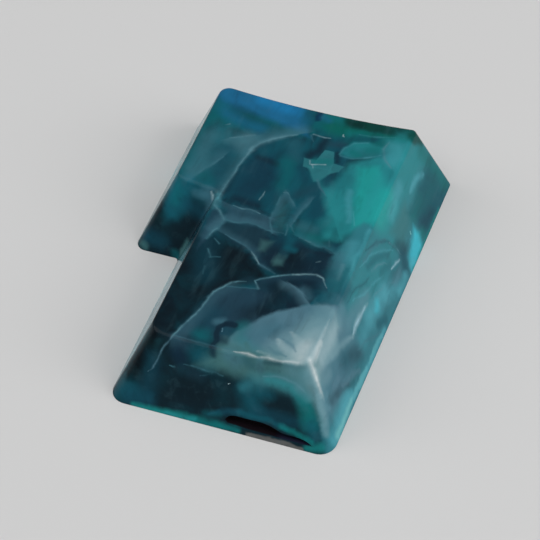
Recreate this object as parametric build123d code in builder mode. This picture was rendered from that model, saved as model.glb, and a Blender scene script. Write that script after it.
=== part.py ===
import os

from build123d import *

# A cast resin keycap for a stepped two-row key: wide at the back, narrow at the front.
# The origin is on the switch axis in the plane of the rim: +X right, +Y back, +Z up.

# Keyboard grid
key_pitch = 19.05  # one key unit
gap_across = 1.0  # space left beside the neighbouring caps, left to right
gap_along = 0.5  # the same, front to back
back_row_units = 1.5  # width of the back row
front_row_units = 1.25  # width of the front row
row_units = 2.0  # depth of both rows together

# Outer walls
cap_height = 7.7  # rim to the raised side edges of the top
side_lean = 3.45  # how far each wall leans in over the cap height
front_lean = 4.15
back_lean = 1.05
step_lean = 4.0  # front wall of the wide back row
front_corner_radius = 1.9  # both front corners
left_corner_radius = 1.2  # both corners left of the back row
back_corner_radius = 0.6  # back right corner, cast sharper
step_corner_radius = 0.5  # inside corner where the two rows meet
top_edge_radius = 0.45

# Dished top
dish_depth = 0.7  # middle of the dish below the raised side edges
dish_overrun = 1.0  # how far the walls are drawn up before the dish is cut

# Hollow underside
rim_wall = 1.5  # wall thickness at the rim
ceiling_wall = 1.8  # wall thickness at the ceiling of the hollow
ceiling_height = 5.2
hollow_corner_radius = 1.0
hollow_step_radius = 1.5  # where the hollow turns round the step
ceiling_edge_radius = 0.6

# Stems that grip the switch and the two stabiliser arms
stem_diameter = 5.5
stem_recess = 0.6  # stem ends stay this far inside the rim plane
stabiliser_spacing = 23.876  # between the two outer stems
cross_length = 4.1
cross_arm_across = 1.17  # arm that runs left to right
cross_arm_along = 1.29  # arm that runs front to back
stem_end_chamfer = 0.2
stem_root_flare = 0.4

# Void left in the front wall, with a thin strand of the rim still whole under it
void_left = (0.5, 0.9)  # blunt left end
void_crown = [(0.8, 1.28), (2.3, 1.52), (5.3, 1.36), (6.2, 1.08), (7.4, 1.04), (9.0, 0.8)]  # left to right
void_right = (9.5, 0.52)
void_foot = [(8.6, 0.46), (2.9, 0.52), (0.8, 0.64)]  # top of the strand, right to left
void_depth = 1.2  # upright back of the void, behind the rim

right_edge = (front_row_units * key_pitch - gap_across) / 2
front_row_left = -right_edge
back_row_left = right_edge - (back_row_units * key_pitch - gap_across)
back_edge = (row_units * key_pitch - gap_along) / 2
front_edge = -back_edge
step_edge = back_edge - (key_pitch - gap_along)

top_right = right_edge - side_lean
top_left = back_row_left + side_lean
dish_centre = (top_left + top_right) / 2
dish_half_width = (top_right - top_left) / 2
dish_radius = (dish_half_width**2 + dish_depth**2) / (2 * dish_depth)
dish_floor = cap_height - dish_depth

stem_places = [(0, -stabiliser_spacing / 2), (0, 0), (0, stabiliser_spacing / 2)]
socket_depth = ceiling_height - stem_recess
reach = row_units * key_pitch  # longer than the cap, for cuts that run right across it
flattest_corner = 0.5  # rise of a corner edge over its length, above that of any level edge


def leaning_block(left, front, lean_front, height, foot_wall, head_wall):
    # One row's block with four flat leaning walls, set in by a wall thickness at foot and head.
    share = height / cap_height
    with BuildPart() as block:
        with BuildSketch(Plane.YZ):
            with BuildLine():
                Polyline(
                    (front + foot_wall, 0),
                    (back_edge - foot_wall, 0),
                    (back_edge - back_lean * share - head_wall, height),
                    (front + lean_front * share + head_wall, height),
                    close=True,
                )
            make_face()
        extrude(amount=reach, both=True)
        with BuildSketch(Plane.XZ):
            with BuildLine():
                Polyline(
                    (left + foot_wall, 0),
                    (right_edge - foot_wall, 0),
                    (right_edge - side_lean * share - head_wall, height),
                    (left + side_lean * share + head_wall, height),
                    close=True,
                )
            make_face()
        extrude(amount=reach, both=True, mode=Mode.INTERSECT)
    return block.part


def is_upright(edge):
    return edge.geom_type == GeomType.LINE and abs(edge.tangent_at(0).Z) > flattest_corner


def stepped_block(height, foot_wall, head_wall, front_radius, left_radius, back_radius, step_radius):
    # The narrow block over both rows and the wide back row, joined, with rounded upright corners.
    near, far = front_edge + foot_wall, back_edge - foot_wall
    narrow_left, wide_left = front_row_left + foot_wall, back_row_left + foot_wall
    right, step = right_edge - foot_wall, step_edge + foot_wall
    with BuildPart() as block:
        add(leaning_block(front_row_left, front_edge, front_lean, height, foot_wall, head_wall))
        add(leaning_block(back_row_left, step_edge, step_lean, height, foot_wall, head_wall))

        def corner_over(x, y):
            return block.edges().filter_by(is_upright).sort_by_distance((x, y, 0))[0]

        fillet([corner_over(narrow_left, near), corner_over(right, near)], front_radius)
        fillet([corner_over(wide_left, step), corner_over(wide_left, far)], left_radius)
        fillet(corner_over(right, far), back_radius)
        fillet(corner_over(narrow_left, step), step_radius)
    return block.part


with BuildPart() as keycap:
    # Leaning walls, drawn past the top
    wall_radii = (front_corner_radius, left_corner_radius, back_corner_radius, step_corner_radius)
    add(stepped_block(cap_height + dish_overrun, 0, 0, *wall_radii))

    # Cylindrical dish that runs from front to back
    with BuildSketch(Plane.XZ) as dish:
        with Locations((dish_centre, dish_floor + dish_radius)):
            Circle(dish_radius)
    extrude(amount=reach, both=True, mode=Mode.SUBTRACT)
    top_face = keycap.faces().sort_by(Axis.Z)[-1]
    fillet(top_face.outer_wire().edges(), top_edge_radius)

    # Hollow underside with a flat ceiling
    hollow_radii = (hollow_corner_radius, hollow_corner_radius, hollow_corner_radius, hollow_step_radius)
    add(stepped_block(ceiling_height, rim_wall, ceiling_wall, *hollow_radii), mode=Mode.SUBTRACT)
    ceiling = keycap.faces().filter_by(Axis.Z).sort_by(Axis.Z)[-1]
    fillet(ceiling.outer_wire().edges(), ceiling_edge_radius)

    # Stems hanging from the ceiling; the front one runs into the front wall, the others flare at the root
    with BuildSketch(Plane.XY.offset(stem_recess)) as stem_ends:
        with Locations(*stem_places):
            Circle(stem_diameter / 2)
    extrude(amount=socket_depth)
    ceiling = keycap.faces().filter_by(Axis.Z).sort_by(Axis.Z)[-1]
    chamfer(ceiling.inner_wires().edges(), stem_root_flare)

    # Cross sockets in the stems
    with BuildSketch(Plane.XY.offset(stem_recess)) as crosses:
        with Locations(*stem_places):
            Rectangle(cross_length, cross_arm_across)
            Rectangle(cross_arm_along, cross_length)
    extrude(amount=socket_depth, mode=Mode.SUBTRACT)

    # Eased edges at the mouths of the sockets
    stem_faces = keycap.faces().filter_by(Axis.Z).group_by(Axis.Z)[1]
    chamfer(stem_faces.edges(), stem_end_chamfer)

    # Void in the front wall, back to an upright face that stays short of the hollow
    void_back = Plane((0, front_edge + void_depth, 0), x_dir=(1, 0, 0), z_dir=(0, -1, 0))
    with BuildSketch(void_back) as void_mouth:
        with BuildLine():
            Spline(void_left, *void_crown, void_right)
            Polyline(void_right, *void_foot, void_left)
        make_face()
    extrude(amount=rim_wall, mode=Mode.SUBTRACT)

keycap.part.label = "keycap"

os.makedirs("parts", exist_ok=True)
export_step(keycap.part, "parts/keycap.step")
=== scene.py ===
import math

import bpy
from mathutils import Matrix, Vector

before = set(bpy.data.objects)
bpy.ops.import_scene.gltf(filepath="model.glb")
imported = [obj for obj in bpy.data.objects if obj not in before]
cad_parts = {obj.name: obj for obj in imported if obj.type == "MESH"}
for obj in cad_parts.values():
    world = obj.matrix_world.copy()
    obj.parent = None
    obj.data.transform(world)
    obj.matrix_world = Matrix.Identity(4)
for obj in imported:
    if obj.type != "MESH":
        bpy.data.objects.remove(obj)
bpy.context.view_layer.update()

scene = bpy.context.scene
scene.view_settings.view_transform = "Standard"
print("keycap loaded")

# where the cap's faces are, in millimetres
capShape = dict(
    right=11.406, front=-18.8, stepFront=0.25,
    height=7.7, sideLean=3.45, frontLean=4.15, stepLean=4.0,
    ridgeInset=0.56, dishCentre=-2.381, dishRadius=76.7, dishFloor=7.0,
)

# pigments poured into the resin, with the painted shade, glow and highlights, as they look on a screen
pigments = dict(
    black=(6, 12, 17), ink=(12, 26, 34), abyss=(14, 33, 41), night=(18, 40, 54), navy=(19, 45, 64),
    slate=(33, 62, 78), dusk=(26, 54, 67), deep=(18, 66, 82), petrol=(18, 80, 94), teal=(15, 92, 100),
    sea=(18, 108, 110), lagoon=(38, 131, 137), glow=(32, 153, 150), blue=(30, 102, 143), royal=(30, 122, 176),
    indigo=(12, 48, 76), pine=(12, 62, 54), moss=(10, 96, 86), haze=(60, 110, 124), mist=(86, 132, 145),
    smoke=(112, 150, 160), milk=(144, 172, 179), white=(202, 213, 214), fog=(80, 120, 136), cyan=(60, 184, 202),
    aqua=(76, 156, 170), rim=(24, 122, 122), steel=(64, 108, 124), sage=(60, 103, 106), cross=(46, 118, 126),
    strip=(50, 118, 130), shadedFloorGrey=(96, 97, 96), shadowBlack=(24, 18, 23), shadowPlum=(34, 36, 56),
    foam=(112, 184, 186), ice=(152, 190, 204),
)

# broad fields of the top, laid one over another: kind, pigment, reach in mm, strength, path or corners
topFields = [
    # back left: blue over teal
    ("patch", "teal", 2.0, 0.9, [(-12.8, 15.6), (-12.8, 12.4), (-8.0, 12.6), (-3.4, 14.2), (-6.0, 15.4)]),
    ("patch", "blue", 1.2, 1.0, [(-13, 18.2), (-13, 15.9), (-2.4, 14.2), (-2.5, 16.0), (-3.7, 18.2)]),
    ("wash", "royal", 1.0, 0.7, [(-8.2, 17.4), (-6.6, 17.2)]),
    ("wash", "blue", 0.9, 0.6, [(-11.4, 15.8), (-9.8, 15.7)]),
    ("wash", "royal", 0.9, 0.8, [(-5.4, 16.9), (-4.4, 17.2)]),
    ("wash", "deep", 1.0, 0.45, [(-10.3, 14.8), (-8.2, 14.4)]),
    ("wash", "deep", 0.7, 0.5, [(-7.2, 14.1), (-5.6, 14.0)]),
    ("wash", "blue", 0.9, 0.5, [(-12.4, 14.6), (-11.4, 14.3), (-8.6, 13.5), (-7.2, 13.4)]),
    ("wash", "petrol", 1.1, 0.8, [(-3.3, 17.6), (-3.0, 16.6), (-2.3, 15.4)]),
    ("patch", "teal", 0.5, 0.95, [(-2.2, 18), (-2.2, 14.5), (1.2, 14.4), (1.0, 18)]),
    ("wash", "deep", 0.6, 0.4, [(-1.6, 14.9), (0.6, 14.7)]),
    ("wash", "sea", 0.8, 0.8, [(-0.9, 17.4), (0.3, 17.2)]),
    ("wash", "moss", 1.0, 0.95, [(-0.4, 15.9), (1.4, 15.9)]),
    ("band", "indigo", 0.45, 0.95, [(-2.2, 17.7), (-2.1, 16.7)]),
    ("wash", "blue", 0.5, 0.45, [(-1.6, 17.0), (-1.0, 16.8)]),
    # back right: dark green edge over teal
    ("patch", "sea", 1.0, 0.9, [(1.2, 16.6), (1.2, 14.2), (9.4, 13.6), (9.4, 16.4)]),
    ("wash", "deep", 0.6, 0.7, [(1.2, 14.5), (2.6, 15.1), (4.4, 15.5)]),
    ("band", "pine", 1.2, 1.0, [(1.4, 17.35), (3.2, 17.25), (8.4, 17.15), (9.6, 16.2)]),
    ("wash", "ink", 0.7, 0.45, [(1.4, 16.9), (2.2, 17.0)]),
    ("wash", "moss", 0.4, 0.5, [(1.2, 16.2), (3.6, 16.0), (7.6, 16.2)]),
    # left, outside the main vein
    ("patch", "strip", 2.4, 0.55, [(-12.0, 12.4), (-12.2, 4.2), (-8.4, 4.2), (-7.4, 9.5), (-7.2, 12.0)]),
    ("wash", "mist", 1.2, 0.5, [(-7.8, 11.6), (-8.3, 10.6)]),
    ("wash", "teal", 0.9, 0.8, [(-12.5, 14.5), (-12.5, 4.6)]),
    ("wash", "haze", 1.1, 0.5, [(-11.6, 10.6), (-11.7, 6.0)]),
    ("wash", "deep", 1.7, 0.8, [(-9.2, 9.2), (-9.0, 7.0), (-9.2, 5.0)]),
    ("wash", "teal", 0.9, 0.6, [(-10.2, 5.4), (-9.6, 4.6)]),
    # the large dark cell
    ("patch", "deep", 1.2, 0.95, [(-7.6, 3.4), (-2.4, 3.4), (-1.6, 9.0), (-2.0, 12.6), (-3.6, 13.4),
                                  (-6.4, 11.4), (-7.2, 9.0)]),
    ("wash", "navy", 1.5, 0.6, [(-5.6, 8.6), (-4.4, 7.2), (-5.4, 5.4)]),
    ("wash", "night", 0.45, 0.8, [(-6.0, 9.7), (-3.9, 9.4)]),
    ("wash", "petrol", 1.2, 0.9, [(-4.2, 12.6), (-2.4, 12.2)]),
    ("wash", "haze", 0.9, 0.2, [(-3.4, 12.8), (-2.6, 11.0)]),
    ("wash", "teal", 1.2, 0.95, [(-3.0, 10.0), (-2.3, 8.6), (-2.1, 6.8)]),
    ("wash", "petrol", 0.8, 0.6, [(-5.8, 10.6), (-4.4, 11.6)]),
    # under the back socket
    ("patch", "petrol", 1.2, 0.9, [(-1.8, 9.6), (-2.0, 6.6), (1.4, 2.0), (3.4, 2.0), (3.2, 5.0), (1.8, 9.4)]),
    ("wash", "deep", 1.1, 0.75, [(1.6, 6.2), (2.0, 3.6)]),
    ("wash", "slate", 0.8, 0.5, [(0.6, 7.2), (-0.6, 6.2)]),
    # light pool on the right
    ("patch", "lagoon", 1.2, 0.95, [(1.9, 6.9), (3.8, 2.9), (5.2, 1.9), (9.6, 4.4), (9.6, 14.2), (5.6, 13.4),
                                    (3.0, 11.6)]),
    ("wash", "petrol", 0.9, 0.35, [(3.1, 9.8), (2.7, 8.2)]),
    ("patch", "glow", 1.1, 0.95, [(4.0, 11.2), (4.9, 7.6), (5.7, 4.9), (6.3, 3.3), (7.6, 4.4), (8.6, 6.4),
                                  (7.2, 10.4), (6.0, 11.8)]),
    ("wash", "petrol", 0.8, 0.6, [(7.5, 11.2), (8.0, 9.4)]),
    ("wash", "aqua", 0.9, 0.6, [(8.4, 14.8), (8.8, 5.0)]),
    ("wash", "lagoon", 1.0, 0.7, [(7.6, 14.4), (7.8, 12.6)]),
    ("wash", "aqua", 0.4, 0.45, [(4.2, 7.8), (4.9, 5.8), (5.5, 4.0)]),
    # cells in the middle
    ("wash", "petrol", 1.0, 0.5, [(-3.4, 5.0), (-2.8, 4.0)]),
    ("wash", "night", 0.75, 0.8, [(-6.0, 3.65), (-4.2, 3.5)]),
    ("patch", "slate", 0.9, 0.85, [(-7.2, 2.8), (-6.1, 0.7), (-1.5, 0.6), (-2.2, 2.5), (-4.4, 2.8)]),
    ("wash", "steel", 0.6, 0.4, [(-5.8, 1.3), (-2.6, 1.5)]),
    ("patch", "petrol", 0.9, 0.45, [(-2.1, 5.9), (-2.1, 2.5), (-1.3, 0.7), (0.0, 0.9), (0.2, 2.4), (-0.4, 4.8),
                                    (-1.5, 6.0)]),
    ("wash", "sage", 0.9, 0.3, [(-1.5, 4.6), (-1.2, 3.0), (-0.9, 1.6)]),
    ("wash", "teal", 1.5, 0.85, [(1.0, 1.6), (4.2, 1.9)]),
    ("wash", "steel", 0.8, 0.35, [(1.0, 2.2), (2.4, 2.0)]),
    ("wash", "sea", 0.7, 0.5, [(2.6, 1.2), (3.6, 0.8)]),
    ("wash", "lagoon", 0.8, 0.7, [(4.2, 1.7), (5.0, 1.5)]),
    ("wash", "lagoon", 0.8, 0.45, [(3.2, 3.4), (4.1, 2.3)]),
    ("patch", "deep", 0.5, 0.7, [(4.8, 0.9), (5.0, -0.2), (6.0, -0.4), (6.1, 0.8)]),
    # dark front half
    ("patch", "dusk", 1.0, 0.95, [(-6.2, 0.5), (-6.6, -1.2), (-2.0, -2.4), (-1.2, 0.4), (-3.4, 0.9)]),
    ("patch", "night", 1.2, 1.0, [(-1.8, 0.0), (-2.2, -2.6), (-0.4, -3.9), (2.4, -4.3), (5.2, -3.4),
                                  (5.6, -0.6), (2.8, -0.1)]),
    ("wash", "ink", 1.3, 0.8, [(1.7, -1.8), (2.2, -3.0), (1.2, -3.8)]),
    ("wash", "deep", 1.2, 0.6, [(-0.2, 0.2), (1.2, 0.2)]),
    ("patch", "ink", 1.6, 1.0, [(-9.0, -0.8), (-9.0, -15.6), (-5.8, -15.6), (-4.2, -8.8), (-3.4, -2.4)]),
    ("patch", "ink", 1.2, 1.0, [(-5.0, -2.0), (-4.6, -8.6), (-0.6, -5.8), (0.4, -4.9), (-2.4, -2.7)]),
    ("wash", "deep", 1.6, 0.5, [(-7.6, -1.0), (-6.2, -4.6), (-5.6, -6.4)]),
    ("patch", "slate", 0.5, 0.85, [(-8.0, 2.0), (-7.5, -3.8), (-6.2, 0.6), (-7.4, 1.8)]),
    ("wash", "steel", 0.6, 0.6, [(-6.8, 0.4), (-7.2, -0.8)]),
    # fan between the fold and the cloud
    ("patch", "slate", 0.3, 0.95, [(-5.85, -15.3), (0.6, -15.3), (1.4, -7.2), (-0.4, -6.7), (-2.9, -7.1),
                                   (-4.1, -8.6)]),
    ("patch", "night", 0.4, 0.9, [(-0.6, -5.8), (1.2, -10.6), (5.4, -7.2), (6.2, -4.8), (4.7, -3.6),
                                  (1.2, -4.6)]),
    ("wash", "deep", 1.4, 0.5, [(-3.4, -11.0), (-3.0, -13.6)]),
    ("wash", "ink", 1.3, 0.55, [(0.4, -10.0), (2.2, -7.6), (2.0, -6.0)]),
    ("wash", "teal", 1.1, 0.8, [(-3.2, -13.9), (-2.6, -14.8)]),
    ("wash", "slate", 1.2, 0.7, [(-2.6, -8.6), (0.2, -7.6)]),
    ("wash", "steel", 0.6, 0.45, [(4.2, -5.6), (5.0, -6.4)]),
    ("wash", "dusk", 0.6, 0.8, [(-1.4, -6.0), (-0.2, -6.2)]),
    # pale strip along the right edge
    ("patch", "strip", 0.8, 0.95, [(6.9, 4.2), (6.2, 2.0), (5.5, -1.5), (6.3, -6.6), (9.8, -7.0), (9.8, 3.4)]),
    ("wash", "aqua", 0.8, 0.5, [(7.0, 1.0), (7.3, -0.8)]),
    ("wash", "petrol", 0.5, 0.6, [(5.9, -2.8), (6.3, -5.0)]),
    ("wash", "steel", 0.8, 0.6, [(6.4, -0.6), (6.2, -1.8)]),
    ("wash", "aqua", 0.35, 0.6, [(7.8, 3.2), (8.1, 1.4), (7.7, -0.6), (8.2, -3.0)]),
    ("wash", "mist", 0.3, 0.6, [(6.75, -1.7), (6.9, -3.6)]),
    ("wash", "petrol", 0.35, 0.5, [(7.3, -2.2), (7.6, -5.2)]),
    ("wash", "aqua", 0.4, 0.45, [(8.7, -0.5), (8.5, -3.4)]),
    ("wash", "deep", 1.5, 0.75, [(6.6, -4.6), (6.7, -6.0)]),
    ("wash", "slate", 0.8, 0.5, [(5.6, -1.6), (6.2, -3.2)]),
    ("wash", "steel", 0.8, 0.5, [(8.4, -4.2), (8.2, -5.8)]),
]

# milky cloud at the front right corner
cloud = [
    ("patch", "fog", 0.55, 1.0, [(9.8, -6.3), (5.5, -7.4), (4.0, -8.1), (2.8, -8.8), (1.7, -9.9), (-0.3, -12.4),
                                 (-1.0, -15.6), (10.4, -15.6)]),
    ("wash", "sea", 0.9, 0.6, [(0.2, -11.7), (0.4, -13.0)]),
    ("wash", "steel", 1.6, 0.75, [(1.6, -12.4), (3.0, -11.2)]),
    ("wash", "strip", 1.0, 0.6, [(0.8, -13.6), (2.6, -14.5)]),
    ("wash", "mist", 1.5, 0.7, [(7.4, -8.4), (6.6, -9.6), (7.0, -10.6)]),
    ("wash", "fog", 0.8, 0.8, [(3.6, -9.4), (5.2, -9.0)]),
    ("patch", "smoke", 2.2, 0.75, [(6.2, -9.0), (3.4, -12.6), (3.0, -14.8), (9.0, -15.2), (8.4, -8.6)]),
    ("patch", "milk", 1.4, 0.8, [(7.0, -10.4), (5.9, -12.4), (5.4, -14.8), (9.0, -15.2), (8.3, -9.8)]),
    ("wash", "milk", 0.5, 0.5, [(4.9, -11.2, 0.5), (5.8, -12.0), (6.7, -13.0, 1.4)]),
    ("wash", "milk", 0.5, 0.75, [(3.9, -12.4, 0.5), (4.7, -13.1), (5.9, -14.0, 1.4)]),
    ("wash", "milk", 0.4, 0.75, [(2.6, -14.0, 0.5), (4.0, -14.5), (5.6, -14.6, 1.4)]),
    ("wash", "milk", 1.4, 0.9, [(7.0, -12.4), (6.7, -14.2)]),
    ("wash", "white", 1.0, 0.5, [(7.1, -12.6), (6.8, -14.3)]),
    ("wash", "white", 0.7, 0.75, [(6.9, -14.6), (7.9, -14.4)]),
    ("wash", "fog", 0.3, 0.6, [(4.4, -12.2, 0.5), (5.4, -12.7), (6.0, -13.3, 0.5)]),
    ("wash", "fog", 0.25, 0.6, [(3.4, -13.4, 0.5), (4.4, -13.9), (5.4, -14.2, 0.5)]),
    ("wash", "sage", 0.3, 0.6, [(1.2, -13.6), (2.0, -14.4), (3.0, -14.6)]),
]

# cross sockets seen through the resin, and the dark round them
sockets = [
    ("wash", "night", 0.75, 0.95, [(-0.45, 13.9), (-0.6, 12.5), (-1.3, 11.6)]),
    ("wash", "slate", 0.6, 0.7, [(0.5, 13.7), (1.4, 13.9)]),
    ("wash", "deep", 0.6, 0.9, [(1.4, 12.9), (1.9, 11.5)]),
    ("wash", "night", 0.35, 0.8, [(1.35, 12.6), (1.65, 11.5)]),
    ("wash", "deep", 0.5, 0.8, [(-1.6, 9.7), (-0.5, 8.2)]),
    ("wash", "deep", 0.45, 0.7, [(1.5, 9.4), (1.6, 8.2)]),
    ("patch", "cross", 0.14, 0.9, [(-0.05, 12.75), (-0.4, 11.2), (-0.4, 10.1), (1.45, 10.1), (1.35, 11.3),
                                   (0.95, 12.75)]),
    ("patch", "cross", 0.2, 0.75, [(-1.7, 11.1), (-1.4, 10.0), (-0.3, 9.8), (-0.2, 11.2)]),
    ("patch", "cross", 0.2, 0.75, [(1.3, 11.2), (1.2, 9.6), (2.3, 10.2), (2.6, 11.05)]),
    ("patch", "cross", 0.35, 0.85, [(-1.0, 10.2), (0.3, 8.3), (0.8, 8.4), (1.7, 10.2)]),
    ("wash", "sea", 0.5, 0.75, [(-0.4, 11.0), (0.9, 11.3)]),
    ("patch", "sage", 0.8, 0.65, [(-1.95, -0.6), (-1.8, -2.0), (-1.2, -1.9), (-0.8, -0.5)]),
    ("patch", "petrol", 0.8, 0.7, [(0.25, 0.9), (0.4, -2.0), (1.1, -2.0), (1.3, 0.5)]),
    ("patch", "sage", 0.7, 0.75, [(0.35, -1.9), (0.0, -2.9), (0.3, -3.4), (1.1, -3.2), (1.0, -1.9)]),
    ("wash", "dusk", 0.45, 0.7, [(0.7, -1.4), (0.7, -2.2)]),
    ("wash", "petrol", 0.45, 0.8, [(0.9, -0.85), (1.6, -1.0)]),
    ("wash", "steel", 0.5, 0.75, [(-2.4, -11.8), (-1.9, -11.55)]),
    ("band", "night", 0.5, 0.95, [(-1.35, -11.75), (-0.65, -11.7)]),
    ("patch", "deep", 0.5, 0.6, [(-1.8, -12.2), (-1.6, -13.2), (-0.6, -13.2), (-0.3, -12.1)]),
    ("band", "night", 0.34, 0.9, [(-1.5, -11.8), (-2.0, -12.4), (-1.9, -13.2), (-1.6, -14.0),
                                  (-1.85, -14.9, 0.7)]),
    ("wash", "night", 0.5, 0.65, [(-1.5, -13.7), (-0.8, -13.9)]),
    ("mark", "fog", 0.08, 0.6, [(-1.6, -12.4), (-1.5, -12.8)]),
    # pools at the back right
    ("patch", "lagoon", 0.6, 0.65, [(1.6, 12.6), (2.9, 12.3), (4.2, 12.7), (5.7, 13.5), (5.6, 14.5),
                                    (4.0, 14.85), (2.5, 14.5), (1.75, 13.6)]),
    ("wash", "sea", 0.45, 0.8, [(2.7, 13.2), (3.4, 12.9)]),
    ("wash", "sea", 0.5, 0.6, [(4.2, 13.8), (5.3, 14.1)]),
    ("patch", "aqua", 1.1, 0.4, [(5.7, 15.6), (5.65, 14.0), (6.3, 12.6), (7.5, 11.9), (7.9, 13.4),
                                 (7.4, 15.4)]),
]

# thin folded sheets: they stop at the path and fade out to its left
veils = [
    ("veil", "haze", 1.9, 0.85, [(-7.1, 10.2), (-6.6, 11.4), (-5.6, 12.5), (-4.45, 13.3), (-3.2, 14.05)]),
    ("veil", "haze", 1.1, 0.5, [(-7.85, 3.2), (-7.75, 5.0), (-7.55, 7.0), (-7.3, 9.0), (-7.1, 10.2)]),
    ("veil", "haze", 1.3, 0.6, [(-7.4, 12.4), (-8.5, 11.8), (-9.7, 11.0)]),
    ("veil", "haze", 1.5, 0.5, [(-11.3, 4.5), (-10.4, 6.3), (-9.8, 7.3), (-9.3, 8.5)]),
    ("veil", "steel", 1.4, 0.3, [(-2.2, 2.5), (-4.2, 2.85), (-5.2, 2.65), (-5.9, 2.7), (-7.1, 2.9)]),
    ("veil", "steel", 0.9, 0.4, [(-2.0, 5.95), (-2.07, 4.7), (-2.1, 2.5)]),
    ("veil", "steel", 0.8, 0.4, [(-0.4, 4.8), (-1.0, 5.4), (-1.6, 6.1)]),
    ("veil", "steel", 0.9, 0.5, [(0.25, 2.2), (0.45, 3.9), (0.65, 4.9), (1.0, 5.8)]),
    ("veil", "steel", 1.0, 0.45, [(-6.2, 0.7), (-5.1, 0.7), (-4.1, 1.1), (-3.2, 1.05), (-2.0, 0.85),
                                  (-1.4, 0.6)]),
    ("veil", "strip", 1.0, 0.5, [(1.4, 0.75), (2.4, 0.5), (3.4, 0.1), (4.4, 0.1), (5.0, -0.2)]),
    ("veil", "lagoon", 1.6, 0.6, [(1.5, 7.5), (2.4, 6.5), (3.4, 5.0), (4.4, 3.2), (5.2, 1.9)]),
    ("veil", "steel", 1.1, 0.4, [(-6.4, -0.85), (-5.2, -1.25), (-4.0, -1.6), (-3.1, -1.95), (-2.3, -2.4)]),
    ("veil", "slate", 1.0, 0.6, [(-2.3, -2.4), (-1.7, -3.0), (-0.9, -3.8)]),
    ("veil", "steel", 1.0, 0.45, [(-7.1, -2.0), (-6.75, -0.9), (-6.35, -0.2), (-6.25, 0.7)]),
    ("veil", "fog", 1.3, 0.5, [(5.5, -7.4), (4.9, -6.8), (4.1, -6.0), (3.2, -5.5), (2.4, -5.2)]),
    ("veil", "steel", 1.6, 0.35, [(-2.8, -6.8), (-3.4, -7.5), (-4.0, -8.35), (-4.25, -9.2), (-4.4, -10.4),
                                  (-4.7, -11.6), (-5.2, -13.0), (-5.85, -15.2)]),
    ("veil", "slate", 1.1, 0.7, [(6.3, -4.9), (5.5, -3.8), (4.7, -3.5), (2.5, -4.1), (0.0, -5.2)]),
]

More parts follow.
